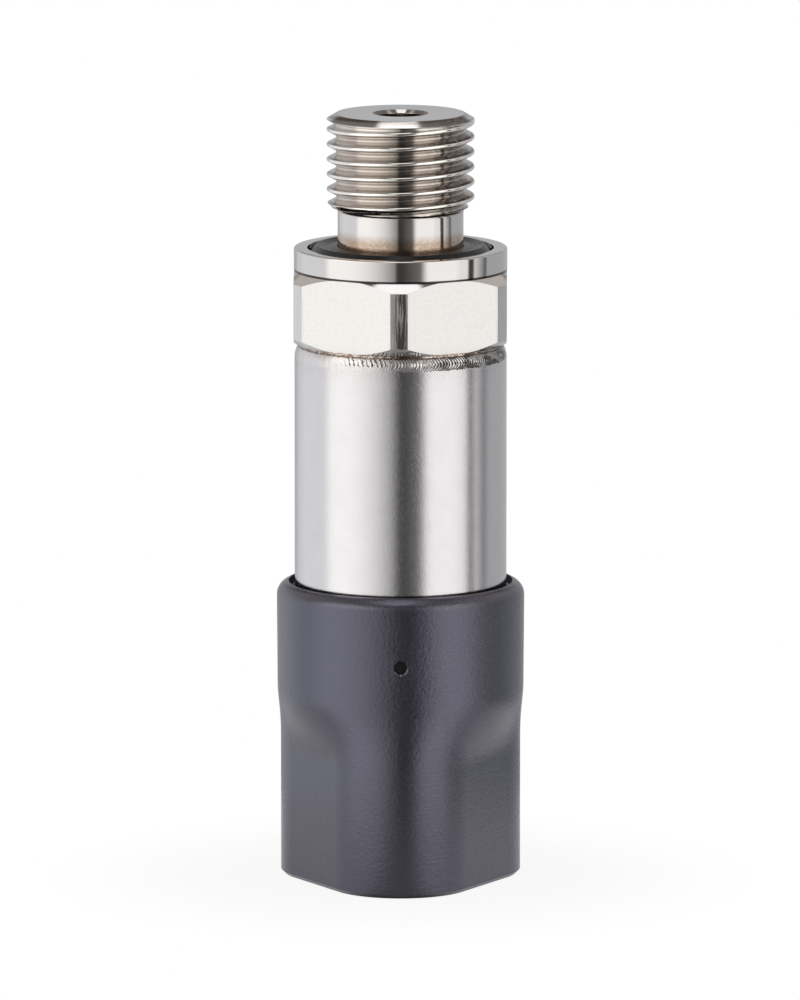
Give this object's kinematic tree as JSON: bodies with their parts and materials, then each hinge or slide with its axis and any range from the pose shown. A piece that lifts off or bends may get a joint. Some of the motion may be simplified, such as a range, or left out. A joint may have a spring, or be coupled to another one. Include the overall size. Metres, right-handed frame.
{
  "type": "pressure transmitter",
  "caption": "Screw-in pressure transmitter: threaded steel fitting with collar, seal and hexagon, welded tubular case and a moulded housing with a three-sided contact socket.",
  "frame": {"origin": "centre of the open end of the housing, on the surface it stands on", "axes": "+Z along the axis from the socket to the pressure thread; -Y towards the vent, where one corner of the housing and one of the hexagon stand; +X to the right seen from the vent side"},
  "size_m": [0.022, 0.0224, 0.0689],
  "materials": {
    "fitting_steel": "turned and polished stainless steel",
    "case_steel": "finely ground stainless steel tube",
    "weld_steel": "rippled weld bead with heat tint",
    "sensor_steel": "machined stainless steel",
    "seal_rubber": "black moulded elastomer",
    "housing_plastic": "dark grey fibre-filled plastic, fine grain",
    "carrier_plastic": "black moulded plastic",
    "contact_brass": "plated brass",
    "membrane_felt": "dark porous membrane",
    "board_laminate": "green coated glass laminate",
    "flex_film": "amber film",
    "gauge_film": "thin metal film under lacquer",
    "bond_metal": "fine drawn wire",
    "chip_plastic": "black moulding compound",
    "chip_ceramic": "fired ceramic with tinned ends",
    "sleeve_plastic": "natural moulded plastic",
    "spring_bronze": "spring bronze",
    "potting_resin": "cured sealing compound"
  },
  "bodies": {
    "root": {"process_connection": "fitting_steel", "profile_seal": "seal_rubber", "weld_seam": "weld_steel", "case_tube": "case_steel", "connector_housing": "housing_plastic", "vent_membrane": "membrane_felt", "contact_carrier": "carrier_plastic", "contact_pin_1": "contact_brass", "contact_pin_2": "contact_brass", "contact_pin_3": "contact_brass", "potting": "potting_resin", "case_seal": "seal_rubber", "housing_seal": "seal_rubber", "connector_board": "board_laminate", "main_board": "board_laminate", "sensor_board": "board_laminate", "insulating_sleeve": "sleeve_plastic", "flex_lead": "flex_film", "ground_spring": "spring_bronze", "signal_chip": "chip_plastic", "voltage_regulator": "chip_plastic", "filter_capacitor_1": "chip_ceramic", "filter_capacitor_2": "chip_ceramic", "filter_capacitor_3": "chip_ceramic", "emc_capacitor_1": "chip_ceramic", "emc_capacitor_2": "chip_ceramic", "emc_capacitor_3": "chip_ceramic", "protection_diode_1": "chip_plastic", "protection_diode_2": "chip_plastic", "sensor_cell": "sensor_steel", "strain_gauge": "gauge_film", "bond_wires": "bond_metal"}
  },
  "joints": []
}
